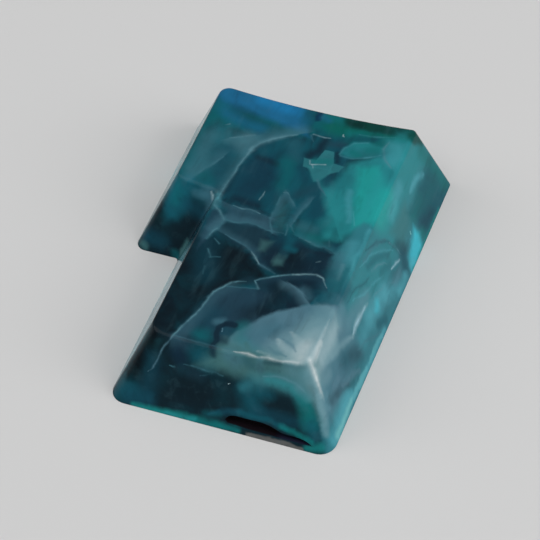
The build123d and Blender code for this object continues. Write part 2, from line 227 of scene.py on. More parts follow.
# veins and wisps
veins = [
    ("line", "mist", 0.75, 0.7, [(-3.4, 13.95, 0.3), (-4.45, 13.3, 0.7), (-5.6, 12.5), (-6.5, 11.5),
                                 (-7.05, 10.4, 0.8)]),
    ("line", "mist", 0.44, 0.69, [(-4.3, 13.4, 0.4), (-5.5, 12.6, 0.7), (-6.6, 11.5), (-7.1, 10.7, 0.9),
                                  (-7.2, 9.6, 0.5)]),
    ("line", "mist", 0.46, 0.75, [(-7.05, 10.4), (-7.25, 9.4, 0.8), (-7.5, 8.0, 0.7), (-7.6, 6.2, 0.8),
                                  (-7.85, 4.4), (-7.9, 3.0, 1.5)]),
    ("line", "mist", 0.49, 0.57, [(-7.4, 12.4, 0.5), (-8.3, 11.9), (-9.6, 11.1, 0.3)]),
    ("line", "haze", 0.37, 0.75, [(-9.3, 8.5, 0.4), (-9.9, 7.2), (-10.5, 6.2), (-11.3, 4.4, 0.9)]),
    ("line", "mist", 0.55, 0.8, [(-8.4, 3.5, 0.3), (-8.15, 2.9), (-7.85, 2.1, 0.6)]),
    ("wash", "aqua", 0.6, 0.65, [(-8.3, 3.4), (-7.9, 2.2)]),
    ("line", "haze", 0.49, 0.8, [(-7.8, 2.2), (-7.2, 1.6), (-6.7, 1.1), (-6.3, 0.7, 1.2), (-6.4, -0.1),
                                 (-6.8, -0.9, 1.2), (-7.1, -2.2, 0.7)]),
    ("line", "mist", 0.3, 0.69, [(-7.8, 2.1), (-7.2, 1.6), (-6.6, 1.0), (-6.3, 0.6, 0.9)]),
    ("line", "mist", 0.3, 0.69, [(-6.6, -0.6, 0.5), (-6.85, -1.0), (-7.0, -1.7, 0.5)]),
    ("line", "mist", 0.22, 0.75, [(-6.2, 2.8, 0.4), (-5.2, 2.65), (-4.2, 2.85), (-3.3, 2.6, 0.6)]),
    ("line", "haze", 0.35, 0.69, [(-2.15, 2.4), (-2.12, 4.2, 0.8), (-2.1, 5.7, 0.5)]),
    ("line", "mist", 0.21, 0.75, [(-2.05, 6.0, 0.6), (-1.65, 6.1), (-1.3, 5.8, 0.4)]),
    ("line", "haze", 0.44, 0.63, [(-1.3, 5.7, 0.5), (-0.8, 5.1), (-0.4, 4.7, 0.6)]),
    ("line", "haze", 0.37, 0.75, [(1.0, 5.8, 0.3), (0.75, 5.0, 1.2), (0.45, 3.9), (0.25, 2.7, 0.8)]),
    ("line", "haze", 0.3, 0.75, [(-2.15, 2.4), (-1.75, 1.4), (-1.3, 0.6)]),
    ("line", "haze", 0.32, 0.69, [(-6.2, 0.7), (-5.1, 0.75, 0.8), (-4.0, 1.1), (-3.1, 1.05, 0.8),
                                  (-1.9, 0.75, 0.7), (-0.2, 0.85, 0.6)]),
    ("line", "haze", 0.3, 0.8, [(-0.25, 2.0, 0.6), (0.0, 1.4), (0.1, 0.7, 0.7)]),
    ("line", "haze", 0.24, 0.75, [(0.1, 2.0), (0.45, 1.6), (0.85, 1.2, 0.5)]),
    ("line", "haze", 0.37, 0.69, [(1.5, 0.7, 0.5), (2.45, 0.5), (3.4, 0.1), (4.3, 0.1), (5.2, -0.45, 0.7),
                                  (6.0, -0.35, 0.5)]),
    ("line", "mist", 0.26, 0.69, [(2.2, 0.55, 0.5), (2.7, 0.45)]),
    ("line", "haze", 0.28, 0.63, [(4.45, 1.1, 0.5), (4.7, 0.35)]),
    ("line", "haze", 0.32, 0.8, [(0.6, 8.6), (1.2, 7.7), (2.1, 6.8, 0.5)]),
    ("line", "aqua", 0.23, 0.52, [(5.5, 5.4, 0.4), (6.2, 3.6)]),
    ("line", "steel", 0.42, 0.69, [(-5.6, -1.1, 0.3), (-3.4, -1.75, 0.8), (-2.3, -2.4), (-1.7, -3.0)]),
    ("line", "smoke", 0.26, 0.92, [(-2.4, -2.3, 0.4), (-1.8, -2.9), (-1.1, -3.65, 0.6)]),
    ("line", "steel", 0.37, 0.69, [(-1.1, -3.65), (-0.2, -3.95), (0.8, -4.4, 0.5)]),
    ("line", "mist", 0.27, 0.95, [(-5.9, -15.2), (-5.6, -14.3), (-5.2, -13), (-4.7, -11.6), (-4.4, -10.4),
                                  (-4.25, -9.2)]),
    ("line", "mist", 0.29, 0.98, [(-4.25, -9.2), (-4.0, -8.35), (-3.4, -7.5), (-2.8, -6.7), (-2.2, -6.35, 0.7),
                                  (-1.5, -6.15, 0.4)]),
    ("line", "mist", 0.27, 0.98, [(-0.1, -6.65, 1.1), (-0.35, -6.25, 0.9), (-0.75, -5.75, 0.7), (0, -5.25),
                                  (1.25, -4.55), (2.55, -4.05)]),
    ("line", "smoke", 0.26, 0.98, [(2.55, -4.05), (3.75, -3.65), (4.7, -3.47), (5.5, -3.75, 0.8),
                                   (6.3, -4.9, 0.4)]),
    ("line", "haze", 0.21, 0.46, [(-3.0, -7.3), (-1.6, -7.0), (-0.1, -6.7)]),
    ("line", "fog", 0.49, 0.63, [(2.3, -5.1, 0.2), (3.2, -5.5, 0.6), (4.1, -6.0), (4.85, -6.9),
                                 (5.4, -7.4, 0.7)]),
    ("line", "haze", 0.26, 0.69, [(-6.4, -1.9, 0.5), (-5.7, -2.4)]),
    ("line", "haze", 0.24, 0.69, [(-6.45, -3.4), (-5.9, -4.3), (-5.0, -4.0, 0.5)]),
    ("line", "haze", 0.23, 0.46, [(-6.0, -5.6), (-5.8, -6.6, 0.5)]),
    ("line", "smoke", 0.22, 0.69, [(4.2, -1.95, 0.6), (4.5, -1.75)]),
    ("line", "smoke", 0.21, 0.92, [(-3.9, 5.6, 0.4), (-3.85, 5.0), (-3.97, 4.3, 0.7)]),
    ("line", "smoke", 0.21, 0.86, [(-1.9, 14.5), (-0.6, 14.35), (-0.05, 14.45, 0.6)]),
    ("line", "haze", 0.24, 0.75, [(-2.05, 14.3), (-1.8, 13.8), (-1.5, 13.5, 0.5)]),
    ("line", "milk", 0.24, 0.98, [(1.02, 15.3, 0.5), (1.05, 15.1, 0.7), (1.2, 15.0, 0.4)]),
    ("line", "milk", 0.19, 1.0, [(-0.65, 10.47), (0.67, 10.82)]),
    ("line", "smoke", 0.17, 0.92, [(-1.0, 10.95), (-0.82, 10.46)]),
    ("line", "smoke", 0.16, 0.8, [(-0.55, 10.4), (-0.4, 10.05)]),
    ("line", "aqua", 0.3, 0.6, [(1.75, 12.4), (2.9, 12.28), (4.1, 12.65), (5.1, 13.1), (5.65, 13.45, 0.5)]),
    ("line", "aqua", 0.3, 0.35, [(1.6, 12.6), (1.75, 13.5), (2.5, 14.45), (3.8, 14.8)]),
    ("line", "mist", 0.34, 0.6, [(5.85, 15.4, 0.5), (5.65, 14.3), (6.1, 13.1), (6.6, 12.5), (7.2, 11.95, 0.5)]),
    ("line", "aqua", 0.3, 0.35, [(2.6, 15.7, 0.5), (4.4, 15.8), (6.3, 16.1, 0.5)]),
    ("line", "mist", 0.2, 0.69, [(-10.7, 12.6, 0.5), (-10.3, 12.9)]),
    ("line", "white", 0.45, 0.95, [(7.9, -8.6, 0.3), (8.0, -10.0, 0.8), (8.0, -12.4), (8.5, -14.8, 1.2)]),
    ("line", "white", 0.45, 0.62, [(0.4, -14.8, 0.3), (1.8, -14.7, 0.9), (2.9, -14.85, 0.6), (3.9, -14.65, 1.1),
                                   (5.0, -14.8, 0.6), (6.1, -14.6, 0.8), (7.4, -14.6)]),
    ("line", "steel", 0.21, 0.57, [(-5.6, -14.7), (-0.2, -14.7)]),
]

# front wall: across, height
frontWall = [
    ("patch", "abyss", 0.5, 1.0, [(-12, -0.6), (10.9, -0.6), (7.9, 7.3), (-8.6, 7.3)]),
    ("band", "black", 1.0, 1.0, [(-9.4, 2.6), (-8.5, 4.8), (-7.9, 6.8)]),
    ("wash", "deep", 1.1, 0.5, [(-7.4, 4.6), (-7.4, 1.6)]),
    ("wash", "petrol", 1.2, 0.8, [(-10.6, 1.0), (-9.2, 1.4)]),
    ("wash", "deep", 1.1, 0.85, [(-9.2, 0.9), (-7.4, 0.9)]),
    ("wash", "slate", 0.8, 0.7, [(-5.4, 6.8), (-4.4, 6.6)]),
    ("wash", "navy", 0.9, 0.6, [(-5.2, 5.9), (-4.6, 5.4)]),
    ("wash", "petrol", 1.3, 0.85, [(-2.9, 6.2), (-2.0, 5.8)]),
    ("wash", "ink", 1.3, 0.6, [(-4.6, 2.6), (-1.4, 2.4)]),
    ("patch", "sage", 1.7, 1.0, [(-0.9, 7.5), (-2.7, 5.3), (0.6, 5.0), (8.6, 4.8), (8.3, 7.5)]),
    ("wash", "steel", 0.9, 0.5, [(0.0, 6.7), (0.8, 6.4)]),
    ("wash", "deep", 0.7, 0.4, [(1.8, 6.7), (2.4, 6.4)]),
    ("wash", "steel", 0.5, 0.4, [(3.2, 7.0), (3.4, 6.2)]),
    ("wash", "mist", 1.2, 0.5, [(6.4, 6.8), (7.6, 6.4)]),
    ("wash", "dusk", 0.3, 0.5, [(3.8, 6.9), (5.0, 7.1)]),
    ("wash", "night", 0.45, 0.95, [(-1.75, 7.4), (-1.6, 6.5)]),
    ("patch", "abyss", 1.6, 0.9, [(0.2, 4.4), (1.2, 1.6), (9.4, 1.2), (8.0, 4.0), (6.6, 4.7), (3.6, 4.8)]),
    ("wash", "petrol", 1.3, 0.75, [(2.4, 4.0), (3.2, 2.4)]),
    ("wash", "strip", 1.0, 0.55, [(1.9, 4.2, 0.6), (3.0, 5.0), (4.6, 5.5), (6.4, 5.4), (7.8, 4.6)]),
    ("wash", "lagoon", 0.6, 0.45, [(4.4, 5.5), (6.6, 5.3), (7.8, 4.5)]),
    ("line", "mist", 0.39, 0.57, [(3.8, 5.7, 0.5), (5.5, 6.0), (7.0, 5.8), (8.1, 5.1, 0.5)]),
    ("wash", "abyss", 0.9, 0.85, [(5.5, 3.5), (6.5, 3.6)]),
    ("wash", "petrol", 0.8, 0.6, [(3.8, 4.2), (4.5, 4.2)]),
    ("wash", "deep", 0.8, 0.6, [(3.6, 2.4), (6.0, 2.3), (7.8, 2.4)]),
    ("wash", "sea", 1.0, 0.8, [(8.0, 4.3), (8.5, 3.4), (8.9, 2.6)]),
    ("wash", "petrol", 0.8, 0.75, [(9.0, 2.4), (9.6, 1.4)]),
    ("wash", "deep", 0.42, 0.9, [(-1.1, 1.1, 0.5), (0.3, 1.65), (2.0, 1.95)]),
    ("wash", "petrol", 0.42, 0.9, [(2.0, 1.95), (3.6, 1.85, 0.7), (5.0, 1.85), (6.4, 1.6)]),
    ("wash", "sea", 0.4, 0.85, [(6.2, 1.55), (7.5, 1.5), (9.4, 1.0, 0.7)]),
    ("wash", "teal", 0.5, 0.4, [(-1.4, 1.0), (-0.2, 1.2)]),
    # along the foot: the resin's teal with a painted glow where light comes through the thin rim
    ("wash", "rim", 0.5, 0.95, [(-8.8, 0.2, 0.6), (-6.0, 0.12), (-3.4, 0.25, 1.1), (-2.4, 0.25, 0.8)]),
    ("wash", "sea", 0.5, 0.9, [(-2.4, 0.25), (0.0, 0.25), (1.8, 0.2, 0.9)]),
    ("wash", "lagoon", 0.25, 0.6, [(-5.4, 0.1), (-2.4, 0.3)]),
    # painted shade: the grey of the floor in shadow, seen under the void, laid on the rim below it
    ("band", "shadedFloorGrey", 0.42, 0.95, [(2.9, 0.1, 0.6), (4.4, 0.15), (8.5, 0.15, 0.7)]),
    # painted glow along the foot at the right end
    ("wash", "rim", 0.5, 0.8, [(9.1, 0.4), (10.4, 0.6)]),
    ("wash", "smoke", 0.8, 0.7, [(8.2, 7.3), (9.2, 5.0), (10.2, 2.4, 0.5)]),
    ("line", "fog", 0.22, 0.86, [(-5.7, 7.3), (-6.5, 5.8), (-6.85, 4.8), (-7.2, 4.0), (-7.75, 3.4, 0.5)]),
    ("line", "haze", 0.28, 0.75, [(-4.4, 5.0, 0.4), (-2.6, 4.95), (-1.3, 4.85), (-0.3, 4.7, 0.6)]),
    ("line", "haze", 0.24, 0.75, [(-2.5, 4.3, 0.4), (-1.3, 4.75)]),
    ("line", "haze", 0.22, 0.8, [(-5.6, 4.38, 0.5), (-5.2, 4.47)]),
    ("wash", "dusk", 0.8, 0.5, [(-4.2, 4.5), (-2.6, 4.3)]),
    ("wash", "mist", 0.6, 0.4, [(7.4, 5.4), (8.2, 4.8)]),
    ("mark", "milk", 0.12, 0.85, [(0.5, 4.12), (0.75, 4.28)]),
    ("mark", "fog", 0.07, 0.7, [(6.1, 6.35), (6.5, 6.5)]),
]

# right wall: front to back, height; the left walls take the same strokes, turned round
rightWall = [
    ("patch", "strip", 0.9, 1.0, [(-19, -0.6), (19, -0.6), (18, 7.1), (-15, 7.1)]),
    ("patch", "lagoon", 2.4, 0.5, [(-4.5, 7.6), (-3.0, 3.0), (17.6, 3.0), (17.4, 7.6)]),
    # front half
    ("patch", "fog", 1.8, 0.7, [(-16.4, 7.4), (-16.6, 2.0), (-7.2, 2.0), (-6.0, 7.4)]),
    ("patch", "smoke", 1.6, 0.85, [(-15.4, 7.8), (-14.8, 5.6), (-11.0, 5.2), (-7.6, 5.4), (-7.4, 7.8)]),
    ("wash", "milk", 1.2, 0.8, [(-13.8, 6.8), (-9.0, 6.6, 0.7)]),
    ("wash", "white", 0.5, 0.5, [(-13.6, 7.4), (-11.4, 7.4, 0.6)]),
    ("wash", "steel", 0.9, 0.5, [(-13.4, 5.2), (-10.8, 4.7)]),
    ("wash", "smoke", 0.55, 0.75, [(-12.4, 5.9, 0.6), (-10.4, 5.2), (-8.4, 4.6), (-7.2, 4.1, 0.6)]),
    ("wash", "steel", 0.8, 0.7, [(-8.6, 5.6), (-7.0, 5.2)]),
    ("wash", "steel", 1.4, 0.7, [(-13.4, 3.4), (-10.0, 3.4)]),
    ("wash", "petrol", 1.4, 0.7, [(-9.8, 3.6), (-8.0, 2.6)]),
    ("wash", "dusk", 0.8, 0.4, [(-8.6, 3.0), (-7.6, 2.2)]),
    ("wash", "dusk", 0.6, 0.5, [(-14.4, 3.0), (-13.6, 2.9)]),
    ("wash", "dusk", 0.6, 0.5, [(-13.0, 2.6), (-11.4, 2.0)]),
    ("wash", "fog", 0.45, 0.65, [(-12.2, 2.5, 0.6), (-9.8, 1.9), (-8.8, 1.3, 0.7)]),
    ("wash", "fog", 0.5, 0.6, [(-13.2, 3.5), (-12.2, 3.4)]),
    # along the foot: the resin's aqua with a painted glow where light comes through the thin rim
    ("wash", "aqua", 0.9, 0.7, [(-15.0, 1.3), (-12.4, 1.3)]),
    ("wash", "aqua", 0.9, 0.9, [(-17.0, 0.4), (-13.4, 0.8), (-11.6, 0.8, 0.7)]),
    ("wash", "foam", 0.45, 0.8, [(-16.4, 0.3), (-13.4, 0.5), (-11.8, 0.6, 0.6)]),
    ("wash", "foam", 0.42, 0.8, [(-11.4, 0.4, 0.8), (-9.0, 0.5), (-7.6, 0.5, 0.6)]),
    ("wash", "foam", 0.3, 0.6, [(-7.0, 0.5, 0.5), (-5.0, 0.5), (-3.0, 0.3, 0.6)]),
    ("wash", "aqua", 0.45, 0.8, [(-11.6, 0.4), (-8.6, 0.5), (-6.4, 0.35), (-2.4, 0.4)]),
    ("wash", "smoke", 0.9, 0.85, [(-14.6, 7.0), (-15.4, 5.4), (-16.2, 3.8), (-17.4, 1.6, 0.6)]),
    ("wash", "mist", 0.6, 0.7, [(-15.9, 3.8), (-15.4, 2.9, 0.5)]),
    ("wash", "smoke", 0.6, 0.55, [(-15.6, 4.6), (-16.6, 2.8, 0.7)]),
    ("wash", "petrol", 0.9, 0.75, [(-5.0, 7.2), (-4.2, 7.0)]),
    ("wash", "mist", 0.6, 0.5, [(-7.4, 6.5), (-6.2, 6.6)]),
    ("wash", "smoke", 0.7, 0.5, [(-14.2, 5.2), (-13.0, 4.8)]),
    ("wash", "lagoon", 0.9, 0.5, [(-4.6, 5.9), (-3.6, 5.6)]),
    ("wash", "mist", 1.0, 0.7, [(-6.6, 5.3), (-4.6, 4.9), (-2.4, 4.5)]),
    ("wash", "smoke", 0.4, 0.7, [(-7.2, 4.0, 0.4), (-5.6, 4.25), (-4.2, 4.2), (-2.6, 4.0, 0.4)]),
    ("line", "ice", 0.6, 0.9, [(-6.9, 4.1, 0.4), (-5.8, 4.3), (-5.0, 4.2), (-3.2, 4.1, 0.4)]),
    ("wash", "aqua", 1.0, 0.45, [(-6.2, 2.6), (-4.4, 2.7)]),
    ("wash", "aqua", 1.2, 0.8, [(-3.4, 3.0), (-1.6, 2.7), (0.0, 2.4)]),
    ("wash", "cyan", 0.5, 0.5, [(-1.9, 2.5), (-1.4, 2.8)]),
    ("wash", "petrol", 0.6, 0.7, [(-2.8, 1.4), (-1.6, 0.8)]),
    ("line", "aqua", 0.4, 0.6, [(-4.4, 5.8, 0.5), (-2.4, 5.0), (-0.4, 4.4), (1.6, 3.4, 0.5)]),
    ("line", "mist", 0.3, 0.5, [(-3.0, 3.6, 0.5), (-1.0, 3.5), (1.0, 2.8), (2.6, 1.8, 0.5)]),
    ("line", "haze", 0.5, 0.7, [(-7.6, 2.6, 0.5), (-6.0, 2.2), (-4.4, 1.2), (-3.0, 0.6, 0.5)]),
    ("line", "deep", 0.5, 0.6, [(-5.2, 6.4, 0.5), (-3.4, 6.3), (-1.6, 5.6), (0.0, 5.0, 0.5)]),
    # back half
    ("wash", "haze", 0.4, 0.6, [(0.2, 6.8), (2.4, 6.5), (4.6, 5.2, 0.5)]),
    ("wash", "petrol", 0.5, 0.5, [(0.2, 6.0), (2.2, 5.3), (3.8, 4.2)]),
    ("wash", "petrol", 0.5, 0.4, [(1.4, 4.0), (3.4, 3.4)]),
    ("line", "aqua", 0.35, 0.5, [(-1.0, 7.0, 0.5), (1.6, 6.2), (3.6, 4.9), (4.8, 3.8, 0.5)]),
    ("line", "deep", 0.5, 0.6, [(1.2, 7.2, 0.5), (3.2, 6.2), (4.8, 4.8), (5.4, 3.6, 0.5)]),
    ("line", "mist", 0.42, 0.57, [(0.4, 5.2), (1.8, 4.8), (3.2, 3.6, 0.5)]),
    ("patch", "lagoon", 1.8, 0.75, [(4.6, 8.2), (5.6, 5.2), (16.0, 5.0), (16.8, 8.2)]),
    ("wash", "glow", 1.6, 0.9, [(5.6, 7.2), (8.2, 7.0)]),
    ("wash", "aqua", 0.9, 0.6, [(7.4, 6.0), (8.6, 6.2), (10.6, 6.5)]),
    ("patch", "sage", 1.6, 0.5, [(6.0, 5.0), (6.4, 2.6), (9.6, 3.0), (10.4, 5.0)]),
    ("patch", "petrol", 1.8, 1.0, [(10.0, 3.8), (10.4, -0.6), (18.8, -0.6), (17.8, 4.4)]),
    ("wash", "aqua", 0.5, 0.75, [(11.8, 4.9, 0.5), (13.5, 4.9), (15.2, 4.3, 0.6)]),
    ("wash", "dusk", 0.8, 0.6, [(5.9, 3.4), (6.6, 2.4)]),
    ("line", "mist", 0.26, 0.69, [(4.9, 4.6, 0.5), (5.4, 3.8), (5.6, 2.4, 0.5)]),
    ("line", "ice", 0.4, 0.8, [(3.2, 2.85, 0.5), (4.3, 2.65), (4.95, 2.3, 0.7)]),
    ("wash", "aqua", 1.1, 0.6, [(0.6, 2.2), (2.4, 1.2)]),
    ("wash", "fog", 0.6, 0.5, [(2.8, 1.7), (4.2, 1.5)]),
    ("wash", "deep", 0.8, 0.8, [(5.2, 1.0), (5.8, 2.2)]),
    ("wash", "sea", 1.0, 0.6, [(10.4, 3.0), (12.4, 3.2)]),
    ("wash", "deep", 0.9, 0.85, [(11.2, 1.4), (13.2, 1.1)]),
    ("wash", "sea", 0.8, 0.7, [(9.8, 1.2), (10.4, 0.7)]),
    ("patch", "cyan", 1.2, 1.0, [(5.9, 0.0), (9.1, 0.0), (9.8, 1.3), (9.5, 2.2), (8.2, 1.9), (6.9, 1.4),
                                 (5.95, 0.7)]),
    ("wash", "aqua", 0.4, 0.5, [(6.2, 0.6), (7.0, 0.7)]),
    # a painted glint
    ("mark", "foam", 0.14, 0.8, [(8.7, 2.4), (8.78, 2.55)]),
    # painted glow along the foot, where light comes through the thin rim
    ("wash", "rim", 0.35, 0.75, [(6.4, 0.1), (14.6, 0.1)]),
    ("wash", "aqua", 0.6, 0.7, [(2.6, 0.5), (4.6, 0.6)]),
    ("wash", "sea", 1.3, 0.85, [(16.8, 5.6), (17.4, 3.4), (17.8, 1.0)]),
    ("wash", "teal", 1.5, 0.7, [(13.0, 2.6), (15.6, 2.4)]),
    ("band", "pine", 0.9, 0.9, [(16.6, 7.6), (17.6, 6.6)]),
]

# front wall of the wide back row: across, height
stepWall = [
    ("patch", "ink", 0.6, 1.0, [(-16.6, -0.6), (-9.4, -0.6), (-7.6, 7.2), (-13.2, 7.2)]),
    ("patch", "petrol", 1.3, 0.95, [(-13.5, 7.6), (-13.7, 4.9), (-13.3, 3.1), (-12.1, 3.5), (-11.0, 5.0),
                                    (-11.1, 7.6)]),
    ("wash", "teal", 0.8, 0.6, [(-12.3, 6.8), (-12.4, 5.4)]),
    ("wash", "petrol", 1.1, 0.8, [(-11.2, 6.9), (-9.4, 6.5)]),
    ("wash", "steel", 0.5, 0.4, [(-10.5, 6.5), (-9.8, 6.4)]),
    ("wash", "deep", 1.0, 0.7, [(-11.2, 5.2), (-9.6, 4.8)]),
    ("patch", "abyss", 1.0, 0.5, [(-15.4, 3.0), (-15.2, 1.6), (-10.2, 1.6), (-9.5, 3.7), (-12.0, 3.5)]),
    ("wash", "black", 0.7, 0.6, [(-14.3, 4.4), (-14.1, 3.4)]),
    ("wash", "deep", 1.0, 0.6, [(-15.0, 1.4), (-13.4, 1.3)]),
    ("patch", "sage", 0.5, 0.6, [(-11.4, 1.0), (-11.3, 0.2), (-10.5, 0.2), (-10.1, 1.8), (-10.7, 2.1)]),
    ("wash", "teal", 0.5, 0.6, [(-11.9, 0.6), (-11.7, 0.3)]),
    ("wash", "steel", 0.8, 0.55, [(-9.2, 6.7), (-8.6, 5.8), (-8.3, 4.6)]),
    ("line", "milk", 0.42, 0.7, [(-8.8, 7.0, 0.5), (-8.5, 6.4), (-8.2, 5.6, 0.5)]),
    ("wash", "sage", 0.5, 0.6, [(-15.5, 0.6), (-15.1, 0.4)]),
]

# ridge at the front right corner, a white line of milky resin and a painted highlight down it: across it,
# height
ridge = [
    ("wash", "milk", 0.6, 0.4, [(0.35, 7.4), (0.45, 5.8, 0.8), (0.5, 4.4, 0.4)]),
    ("line", "white", 0.6, 0.8, [(0.3, 7.5), (0.4, 6.2), (0.52, 4.8, 0.6)]),
    ("line", "white", 0.32, 0.65, [(0.45, 6.0), (0.64, 4.6, 0.8), (0.78, 3.4, 0.7), (0.9, 2.2, 0.4)]),
    ("wash", "ice", 0.6, 0.4, [(1.1, 6.0, 0.5), (1.3, 4.4), (1.2, 2.6, 0.4)]),
]

# how strongly each face is lit, next to the top
faceLight = dict(top=1.0, front=0.7, right=0.86, step=0.6, ridge=0.85)

# how strokes of each kind fade
strokeLook = dict(
    wash=(1.5, 0.0), band=(1.2, 0.4), mark=(1.0, 0.7),  # where it ends and where it is full, in its widths
    lineFocus=2.2,  # how fast a line falls off from its middle
    veilEdge=0.1,  # mm over which a veil stops at its path
    patchDepth=1.5,  # mm that a shape on a wall reaches in from it
)

# noise through the resin: scale per mm, detail, roughness, distortion
resinNoise = dict(
    marble=(0.22, 5.0, 0.55, 1.4), smoke=(0.5, 3.0, 0.5, 0.5), breath=(0.9, 3.0, 0.5, 0.0),
    streak=(1.0, 3.0, 0.5, 0.3), slowSwirl=(0.35, 2.0, 0.5, 0.0), fineSwirl=(1.1, 3.0, 0.55, 0.0),
    polish=(0.8, 4.0, 0.6, 0.0),
)

# what the noise does: from these two levels of it, to these two shares
marbling = dict(
    ground=(0.35, 0.65), smoke=(0.3, 0.7, 0.8, 1.0), breath=(0.35, 0.6, 0.45, 1.0),
    paleStreak=(0.52, 0.75, 0.0, 0.08), darkStreak=(0.48, 0.25, 0.0, 0.2), streakStretch=(0.9, 0.24, 0.9),
    veinStir=0.22, fieldFineStir=0.45, fieldSlowStir=0.6,  # mm that strokes are moved
)

resinFinish = dict(
    specular=0.1, ior=1.5, polish=(0.3, 0.7), smooth=0.1, dull=0.2, bumpStrength=0.25, bumpHeight=0.00003,
)

resin = bpy.data.materials.new("marbledResin")
resin.use_nodes = True
tree = resin.node_tree
tree.nodes.clear()


def addNode(kind, output=0, **settings):
    inputs = settings.pop("inputs", {})
    node = tree.nodes.new(kind)
    for name, value in settings.items():
        setattr(node, name, value)
    for name, value in inputs.items():
        if isinstance(value, bpy.types.NodeSocket):
            tree.links.new(value, node.inputs[name])
        else:
            node.inputs[name].default_value = value
    return node.outputs[output]


def vectorMath(operation, a, b=(0, 0, 0), output="Vector"):
    return addNode("ShaderNodeVectorMath", output, operation=operation, inputs={0: a, 1: b})


def scaled(vector, factor):
    return addNode("ShaderNodeVectorMath", "Vector", operation="SCALE", inputs={0: vector, 3: factor})


def along(vector, direction):
    return vectorMath("DOT_PRODUCT", vector, direction, "Value")


def number(operation, a, b=0.0, c=0.0):
    return addNode("ShaderNodeMath", operation=operation, inputs={0: a, 1: b, 2: c})


def ramp(value, low, high, start=0.0, end=1.0):
    return addNode("ShaderNodeMapRange", interpolation_type="SMOOTHSTEP", clamp=False,
                   inputs={0: value, 1: low, 2: high, 3: start, 4: end})


def blended(share, under, over):
    return addNode("ShaderNodeMix", 2, data_type="RGBA", inputs={0: share, 6: under, 7: over})


def clouds(vector, name, output=0):
    scale, detail, roughness, distortion = resinNoise[name]
    return addNode("ShaderNodeTexNoise", output, inputs={
        "Vector": vector, "Scale": scale, "Detail": detail, "Roughness": roughness, "Distortion": distortion})


def swirl(vector, name):
    return vectorMath("SUBTRACT", clouds(vector, name, "Color"), (0.5, 0.5, 0.5))


def screenColour(name, light=1.0):
    def linear(level):  # light for a level on the screen
        level /= 255
        return (level / 12.92 if level <= 0.04045 else ((level + 0.055) / 1.055) ** 2.4) / light
    return (*map(linear, pigments[name]), 1.0)


def onFace(face, a, b):
    s = capShape
    if face == "top":
        return Vector((a, b, s["dishFloor"] + (a - s["dishCentre"]) ** 2 / (2 * s["dishRadius"])))
    if face == "front":
        return Vector((a, s["front"] + s["frontLean"] * b / s["height"], b))
    if face == "right":
        return Vector((s["right"] - s["sideLean"] * b / s["height"], a, b))
    if face == "ridge":
        foot = Vector((s["right"] - s["ridgeInset"], s["front"] + s["ridgeInset"], 0))
        climb = Vector((-s["sideLean"], s["frontLean"], s["height"])) * (b / s["height"])
        return foot + climb + Vector((a, a, 0))
    return Vector((a, s["stepFront"] + s["stepLean"] * b / s["height"], b))


def outOf(face):
    s = capShape
    lean = dict(top=(0, 0, 1), front=(0, -s["height"], s["frontLean"]), right=(s["height"], 0, s["sideLean"]),
                step=(0, -s["height"], s["stepLean"]), ridge=(1, -1, 0))
    return Vector(lean[face]).normalized()


# one run of a stroke: Distance from it in mm, Gap in widths of the stroke there, Side how far to its left in mm
runGroup = bpy.data.node_groups.new("strokeRun", "ShaderNodeTree")
for name, kind in (("Space", "Vector"), ("Start", "Vector"), ("Run", "Vector"), ("PerRun", "Vector"),
                   ("Leftward", "Vector"), ("Width", "Float"), ("Growth", "Float")):
    runGroup.interface.new_socket(name, in_out="INPUT", socket_type="NodeSocket" + kind)
for name in ("Distance", "Gap", "Side"):
    runGroup.interface.new_socket(name, in_out="OUTPUT", socket_type="NodeSocketFloat")
tree = runGroup
given = tree.nodes.new("NodeGroupInput").outputs
offset = vectorMath("SUBTRACT", given["Space"], given["Start"])
share = addNode("ShaderNodeClamp", inputs={0: along(offset, given["PerRun"])})
distance = vectorMath("DISTANCE", offset, scaled(given["Run"], share), "Value")
width = number("MULTIPLY_ADD", share, given["Growth"], given["Width"])
result = tree.nodes.new("NodeGroupOutput").inputs
tree.links.new(distance, result["Distance"])
tree.links.new(number("DIVIDE", distance, width), result["Gap"])
tree.links.new(along(offset, given["Leftward"]), result["Side"])


def strokeRuns(space, face, reach, path):
    # a path point is two places on the face and, where the stroke swells or tapers, its width there
    points = [onFace(face, *point[:2]) for point in path]
    widths = [reach * (point[2] if len(point) > 2 else 1.0) for point in path]
    for i in range(len(points) - 1):
        run = points[i + 1] - points[i]
        node = tree.nodes.new("ShaderNodeGroup")
        node.node_tree = runGroup
        tree.links.new(space, node.inputs["Space"])
        node.inputs["Start"].default_value = points[i]
        node.inputs["Run"].default_value = run
        node.inputs["PerRun"].default_value = run / run.length_squared
        node.inputs["Leftward"].default_value = outOf(face).cross(run).normalized()
        node.inputs["Width"].default_value = widths[i]
        node.inputs["Growth"].default_value = widths[i + 1] - widths[i]
        yield node.outputs


def strokeShare(kind, space, face, reach, strength, path):
    # a stroke of one width is measured in mm, one that swells or tapers in widths
    measure, width = ("Gap", 1.0) if any(len(point) > 2 for point in path) else ("Distance", reach)
    nearest = None
    for run in strokeRuns(space, face, reach, path):
        nearest = run[measure] if nearest is None else number("MINIMUM", nearest, run[measure])
    if kind == "line":  # bright along the middle, with a faint glow on both sides
        nearness = number("MAXIMUM", number("MULTIPLY_ADD", nearest, -1 / width, 1.0), 0.0)
        return number("MULTIPLY", number("POWER", nearness, strokeLook["lineFocus"]), strength)
    end, full = strokeLook[kind]
    return ramp(nearest, end * width, full * width, 0.0, strength)


def veilShare(space, face, reach, strength, path):
    # fades out to the left of the path and stops at it
    edge = strokeLook["veilEdge"]
    most = None
    for run in strokeRuns(space, face, reach, path):
        fade = ramp(run["Distance"], reach, 0.0, 0.0, strength)
        fade = number("MULTIPLY", fade, ramp(run["Side"], -edge, edge))
        most = fade if most is None else number("MAXIMUM", most, fade)
    return most


